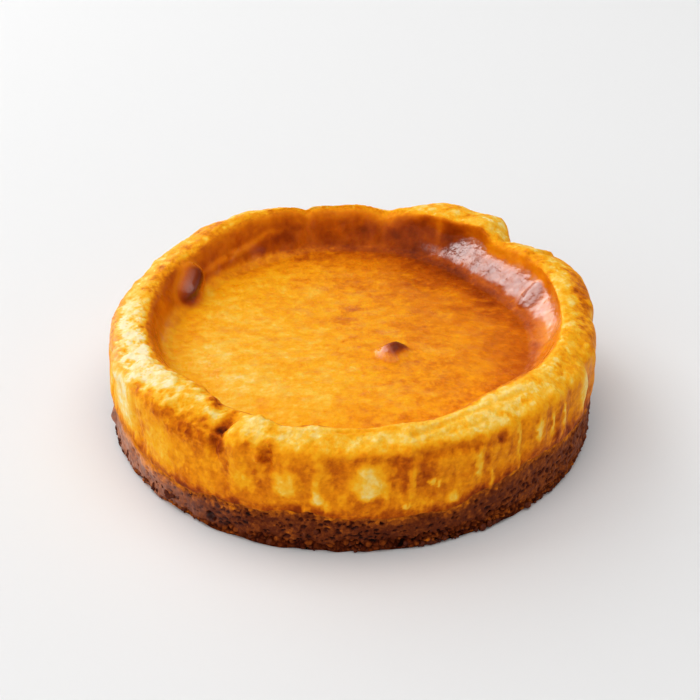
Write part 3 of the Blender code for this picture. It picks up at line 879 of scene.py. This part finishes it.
def floor_browning(at):
    """The sunken top: browner to the right, to the back and at its edge."""
    points = at.points
    x, y, _ = points.T
    floor = 0.455 + 0.24 * (0.85 * x + 0.4 * y) / 45 + 0.09 * rise(-y, 26, 40)
    # Browner near the edge: partly real browning, partly painted shade where the floor meets the slope
    floor += 0.1 * rise(at.radius, 34, 44) * (rise(0.8 * x + 0.5 * y, -15, 20) + 1.4 * rise(-x, 20, 40))
    floor += 0.1 * rise(at.radius, 40, 47) * at.behind
    floor += 0.1 * noise(points, 7, 53) + 0.1 * at.blotchy * noise(points * (0.6, 1, 1), 1.8, 55)
    # Paler flecks: partly pale skin, partly painted glints
    floor -= 0.08 * patches(points * (0.5, 1, 1), 0.9, 65, 0.28, 0.2)
    floor += 0.05 * rise(x, -10, 20) * rise(y, 5, 35)
    for mark_x, mark_y, half_width, browning in TOP_MARKS:
        away = np.hypot(at.warped[:, 0] - mark_x, at.warped[:, 1] - mark_y) / half_width
        floor += browning * smooth(1 - away)
    return floor


def painted_pale_reflections(at):
    """Painted reflections: thin pale lines low on the back left slope, and one down the dark patches beside
    the band of shine.
    """
    angle, track = at.angle, at.track
    painted_foot_reflection = bell(track, 7.3 - 0.4 * facing(angle, 115, 12), 0.4) * facing(angle, 128, 30)
    painted_streak_reflection = 0.35 * facing(at.warped_angle, 62.5, 1.3) * rise(track, 5.6, 6.2)
    painted_streak_reflection *= 1 - rise(track, 7.2, 7.8)
    return painted_foot_reflection * patches(at.points, 3, 128, -0.6, 0.4) + painted_streak_reflection


def colour_filling(skin, over_joint, pale, blisters):
    """Stores how brown, how mottled, how glossy and how glazed each place is."""
    at = Places(skin)
    points, angle, track, warped_track = at.points, at.angle, at.track, at.warped_track
    browning = wall_browning(at, over_joint)
    browning += (crest_browning(at) - browning) * rise(warped_track, 1, 2.6)
    browning -= (0.2 - 0.1 * at.front) * pale
    browning = np.maximum(browning, 0.14 - 0.12 * at.left + 0.06 * at.front)
    # Browner in the rim's creases: painted shade, warm as the shade in baked curd is
    creases = [stroke for stroke in [*STROKES[3:], *FINE_STROKES] if stroke.height < 0]
    browning += 0.14 * np.clip(-stroke_relief(points, creases), 0, 1) * rise(track, 1.6, 2.4)
    burnt, clots = burnt_curd(points, angle, track)
    browning += burnt * (0.12 + 0.12 * clots)
    browning += (slope_browning(at) - browning) * rise(warped_track + 0.25 * at.clumps, 4.7, 5.5)
    foot_start, foot_end = 7.4 + 0.6 * at.behind, 9.4 - 0.9 * facing(angle, 132, 36)
    browning += (floor_browning(at) - browning) * rise(warped_track, foot_start, foot_end)
    # Painted reflections: the pale lines are lightened into the colour
    browning += (0.1 - browning) * 0.3 * painted_pale_reflections(at)
    browning += 0.1 * at.front * bell(warped_track, 5.4, 0.7) * patches(points, 3, 57, -0.1, 0.4)
    blister_share, blister_tone_and_painted_shade = blisters
    browning += (blister_tone_and_painted_shade - browning) * blister_share
    store(skin.mesh, "browning", np.clip(browning, 0, 1))
    on_slope = rise(track, 5.2, 6.2) * (1 - rise(track, 8, 9))
    mottle = (1 - 0.8 * on_slope) * (1 - 0.7 * blister_share)
    store(skin.mesh, "mottle", mottle * (1 - (1 - at.blotchy) * rise(track, 8, 9)))
    worn = 0.3 * rise(track, 8.5, 9.5) + 0.45 * patches(points, 7, 58, -0.1, 0.4) * facing(angle, 95, 70)
    store(skin.mesh, "gloss", rise(track, 5.2, 6.6) * (1 - worn))
    store(skin.mesh, "glaze", glazed(at))


def blister_browning_and_painted_shade(points):
    """How far each place belongs to a blister, and its browning there, darkest on the right, where painted
    shade is added on the side away from the window.
    """
    x, y, z = points.T
    burnt_and_shaded_blister = LEFT_BLISTER._replace(start=(151, 49.3, 23.5), end=(156.5, 47.2, 21.5))
    floor, left, right = (stroke_share(points, stroke) for stroke in (FLOOR_BLISTER, burnt_and_shaded_blister, RIGHT_BLISTER))
    # Darker on the right of the floor blister and low on the right of the left one: real browning with
    # painted shade on the side away from the window
    dark = rise(floor, 0.05, 0.5) * rise(x + 0.25 * y, 4.8, 8.8)
    dark += rise(left, 0.05, 0.6) * (0.45 + 0.65 * rise(x - 0.4 * (z - 22.5), -46, -42))
    dark += 0.7 * rise(right, 0.05, 0.4)
    halo = stroke_share(points, burnt_and_shaded_blister, half_width=8)
    share = rise(floor, 0.1, 0.7) + rise(halo, 0.1, 0.5) + rise(right, 0.05, 0.4)
    return np.clip(share, 0, 1), 0.6 + 0.29 * dark


def glazed(at):
    """How much of a shiny film lies on the skin: a band low on the right slope, and thin films elsewhere."""
    points, angle, track, warped_track = at.points, at.angle, at.track, at.warped_track
    x, y, _ = points.T
    reach = turn_from(angle, 28) + 3 * noise(points, 5, 126)
    top_edge = 6.7 - 0.6 * rise(-reach, 12, 26) + 0.9 * rise(reach, 24, 34)
    low_edge = 8 - 0.4 * rise(-reach, 16, 28)
    band = smooth(3.4 - np.abs(reach) / 12) * rise(warped_track, top_edge - 0.15, top_edge + 0.15)
    uneven = 0.72 + 0.2 * bell(reach, 22, 14) + 0.5 * noise(points, 1.1, 127)
    band *= (1 - rise(warped_track, low_edge - 0.1, low_edge + 0.2)) * uneven
    thin = 0.24 * patches(points, 5, 123, -0.1, 0.5)
    back_left = 1.4 * thin * facing(angle, 138, 34) * bell(warped_track, 7.9, 0.9)
    near_left = 1.3 * thin * facing(angle, 185, 40) * bell(warped_track, 7.9, 1.8)
    right = 0.14 * facing(angle, -12, 20) * bell(warped_track, 7, 1.4)
    shoulders = 0.4 * facing(angle, 190, 34) * bell(track, 1.6, 1)
    shoulders += 0.22 * facing(angle, 338, 9) * bell(track, 1, 0.8)
    film = 0.08 + 0.28 * patches(points * (0.6, 1, 1), 1.6, 125, 0, 0.3)
    film = film * (1 - 0.6 * rise(x, 0, 40)) * rise(track, 9, 9.3)
    floor_blister = stroke_share(points, FLOOR_BLISTER, half_width=6)
    film += 0.35 * rise(floor_blister, 0.35, 0.6) * (1 - rise(x + 0.25 * y, 4.6, 7.4))
    film += 0.5 * rise(stroke_share(points, LEFT_BLISTER), 0.1, 0.6)
    band *= 1 - pits(points, 2.4, 121, 0.16, 0.5)
    return np.clip(band + back_left + near_left + right + shoulders + film, 0, 1)


def make_base():
    skin = Skin("crumb_base_skin", base_rings())
    points = skin.points
    side = skin.track > HIDDEN_TRACK
    outwards = skin.outwards
    coarse = CRUMB_RELIEF * (0.65 * soft_noise(points * MM, CRUMB_SIZE * MM, seed=3) - 0.15)
    skin.push((coarse + stroke_relief(points, BASE_STROKES)) * side, outwards)
    over_table = skin.points[:, 2]
    under_joint = joint_edge(skin.angle) - over_table
    left = facing(skin.angle, 210, 40)
    crumbly = 2.4 - 1.6 * left + 1.8 * facing(skin.angle, 295, 50) + 1.6 * noise(points, 3, 60)
    crumbly = 1 - rise(over_table - crumbly, -0.8, 0.8)
    jitter = 0.3 * shifts(points, 0.9, (74, 75))
    pit = pit_depths(skin.angle + jitter[:, 0], over_table + jitter[:, 1])
    grain, grain_seam, grain_number = cells(points, 1.4, 63)
    gaps = 1 - rise(grain_seam, 0, 0.3)
    upper = 1 - rise(under_joint, 0.5, 3.5)
    loose = np.clip(crumbly + 0.5 * (1 - left) * upper, 0, 1)
    relief = 0.12 * (0.5 - grain) - pit + 0.12 * noise(points, 1.2, 69)
    relief += loose * (0.5 * (0.45 - grain) - 0.4 * gaps) + crumbly * 0.4 * noise(points, 2.4, 77)
    skin.push(relief * side * rise(skin.track, 0, 0.03) * rise(under_joint, -0.3, 1.2), outwards)
    # Lighter at the left: partly a lighter crumb, partly a painted sheen of the window's light
    tone = 0.47 + 0.1 * facing(skin.angle, 326, 30) + 0.25 * left + 0.1 * (grain_number - 0.5)
    tone += 0.07 * noise(points, 5, 78)
    # The darker gaps between the loose crumbs are painted shade
    tone += loose * (0.02 + 0.22 * (grain_number - 0.5) - 0.26 * gaps)
    tone += 0.12 * patches(points, 3.4, 71, 0.2, 0.2)
    tone += 0.34 * (1 - rise(under_joint + 1.6 * noise(points, 1.8, 72), -0.4, 3 + 1.5 * left))
    # Darker in the pits: partly a darker crumb inside them, partly painted shade
    tone += 0.13 * patches(points, 1.2, 70, 0.34, 0.1) - (0.34 - 0.16 * left) * rise(pit, 0.08, 0.3)
    store(skin.mesh, "tone", np.clip(tone, 0, 1))
    waxy = 0.6 + 0.5 * noise(points, 3, 73) - 0.7 * loose
    store(skin.mesh, "gloss", np.clip(waxy, 0, 1))
    waxed = (0.04 + 0.96 * left) * rise(under_joint, 0.5, 2.5)
    store(skin.mesh, "glaze", np.clip(waxed * (1 - loose) * (0.8 + 0.5 * noise(points, 2, 79)), 0, 1))
    finish_piece(skin.mesh, [crumb_material()], "crumb_base")


# The crumbs that the photo shows on their own: angle, height and radius
NAMED_CRUMBS = (
    (326.5, 5.4, 1.15), (328.5, 4.6, 0.8), (331, 7.8, 0.9), (192, 5.2, 0.8), (224.5, 2.6, 1.1),
    (226.5, 3.4, 0.9), (222.5, 4.2, 0.8), (313, 1.2, 1.1), (304, 1, 1.2), (252, 1.2, 1),
)


def make_crumbs():
    """Loose crumbs stuck to the base, most of them along its broken lower edge, in one mesh."""
    draw = np.random.default_rng(CRUMB_SEED)
    ball = bmesh.new()
    bmesh.ops.create_icosphere(ball, subdivisions=2, radius=1)
    shape = np.array([vertex.co for vertex in ball.verts])
    ball_faces = np.array([[vertex.index for vertex in face.verts] for face in ball.faces])
    ball.free()
    points, faces, tones = [], [], []
    clumps = draw.uniform(0, 360, CRUMB_COUNT // 7)
    for k in range(CRUMB_COUNT):
        angle = clumps[k % len(clumps)] + draw.normal(0, 2)
        size = 0.3 + 0.7 * draw.random() ** 2.5
        low_down = draw.random() < 0.8
        height = size * 0.8 + (draw.exponential(0.6) if low_down else draw.uniform(0, 8))
        if k < len(NAMED_CRUMBS):
            angle, height, size = NAMED_CRUMBS[k]
        height = min(height, joint_height(angle, 1) - 1)
        sunk = draw.uniform(0.2, 0.7) * size
        centre = on_plan(angle, side_radius(angle, BASE_SWELLS) - 0.35 - sunk, height)
        lumpy = 1 + 0.6 * noise(shape * 1.4 + 9 * k, 1, 93, 2)
        stretch = draw.uniform(0.7, 1.2, 3)
        points.append(np.clip(centre + shape * stretch * size * lumpy[:, None], BOX_LOW, BOX_HIGH))
        faces.append(ball_faces + k * len(shape))
        tones.append(np.full(len(shape), draw.uniform(0.25, 0.48)))
    mesh = bpy.data.meshes.new("loose_crumbs")
    mesh.from_pydata((np.concatenate(points) * MM).tolist(), [], np.concatenate(faces).tolist())
    dull = np.full(len(shape) * CRUMB_COUNT, 0.1)
    for name, values in (("tone", np.concatenate(tones)), ("gloss", dull), ("glaze", dull)):
        store(mesh, name, values)
    finish_piece(mesh, [crumb_material()], None)


def new_object(name, data):
    thing = bpy.data.objects.new(name, data)
    bpy.context.scene.collection.objects.link(thing)
    return thing


def finish_piece(mesh, materials, node):
    for material in materials:
        mesh.materials.append(material)
    mesh.shade_smooth()
    piece = new_object(mesh.name, mesh)
    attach(piece, "root")
    if node:
        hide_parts(node)


# The photo's view and light, in metres and degrees
CAMERA_DISTANCE = 0.39
CAMERA_ELEVATION = 33.5
CAMERA_LENS = 78.2
SENSOR_WIDTH = 36
AIM = Vector((-0.00043, 0, 0.0164))
LIGHTS_AIM = (0, 0, 0.02)
TABLE_REACH = 3
TABLE_GAP = 0.0001
TABLE_COLOUR = (0.83, 0.83, 0.83, 1)


def look_at(thing, target):
    thing.rotation_euler = (Vector(target) - thing.location).to_track_quat("-Z", "Y").to_euler()


def around(azimuth, elevation, distance):
    """A place round the cake: its plan angle and its angle above the table."""
    turn, lift = np.radians([azimuth, elevation])
    return Vector((np.cos(turn) * np.cos(lift), np.sin(turn) * np.cos(lift), np.sin(lift))) * distance


def add_camera():
    camera = new_object("camera", bpy.data.cameras.new("camera"))
    camera.data.lens = CAMERA_LENS
    camera.data.sensor_width = SENSOR_WIDTH
    camera.location = around(-90, CAMERA_ELEVATION, CAMERA_DISTANCE)
    camera.location.x = AIM.x
    look_at(camera, AIM)
    bpy.context.scene.camera = camera


def new_lamp(name, size, power):
    light = bpy.data.lights.new(name, "AREA")
    light.shape = "RECTANGLE"
    light.size, light.size_y = size
    light.energy = power
    return new_object(name, light)


def add_area_light(name, azimuth, elevation, distance, size, power):
    lamp = new_lamp(name, size, power)
    lamp.location = around(azimuth, elevation, distance)
    look_at(lamp, LIGHTS_AIM)


def add_strip_light(name, start, end, width, radiance):
    """A long light from start to end that faces the cake, as a row of windows does."""
    length = (end - start).length
    lamp = new_lamp(name, (length, width), radiance * np.pi * length * width)
    middle = (start + end) / 2
    backward = middle.normalized()
    upward = backward.cross(end - start).normalized()
    lamp.matrix_world = Matrix((upward.cross(backward), upward, backward)).transposed().to_4x4()
    lamp.location = middle


def add_floor():
    mesh = bpy.data.meshes.new("floor")
    corners = [(x * TABLE_REACH, y * TABLE_REACH, 0) for x, y in ((-1, -1), (1, -1), (1, 1), (-1, 1))]
    mesh.from_pydata(corners, [], [(0, 1, 2, 3)])
    m = Nodes(bpy.data.materials.new("floor"))
    m.feed(m.shader, {"Base Color": TABLE_COLOUR, "Roughness": 0.7, "Specular IOR Level": 0.1})
    mesh.materials.append(m.owner)
    floor = new_object("floor", mesh)
    floor.location.z = -TABLE_GAP


def light_the_scene():
    """Light all round that is brighter near the table, a window on the left and a dim ceiling."""
    w = Nodes(bpy.data.worlds.new("world"), "Background")
    upwards = w.add("ShaderNodeSeparateXYZ", "Z", {"Vector": w.add("ShaderNodeTexCoord", "Generated")})
    w.feed(w.shader, {"Color": (1, 1, 1, 1), "Strength": w.span(upwards, 0.1, 0.5, 0.8, 0.2)})
    bpy.context.scene.world = w.owner
    bpy.context.scene.view_settings.view_transform = "Standard"
    add_strip_light("window", around(198, 60, 1.4), around(117, 8, 2.2), 0.8, 2.7)
    add_area_light("ceiling", 350, 84, 2.2, (2.6, 2.6), 27)
    add_area_light("room", 228, 32, 2.2, (1.6, 1.6), 12)


make_filling()
make_base()
make_crumbs()
add_floor()
light_the_scene()
add_camera()
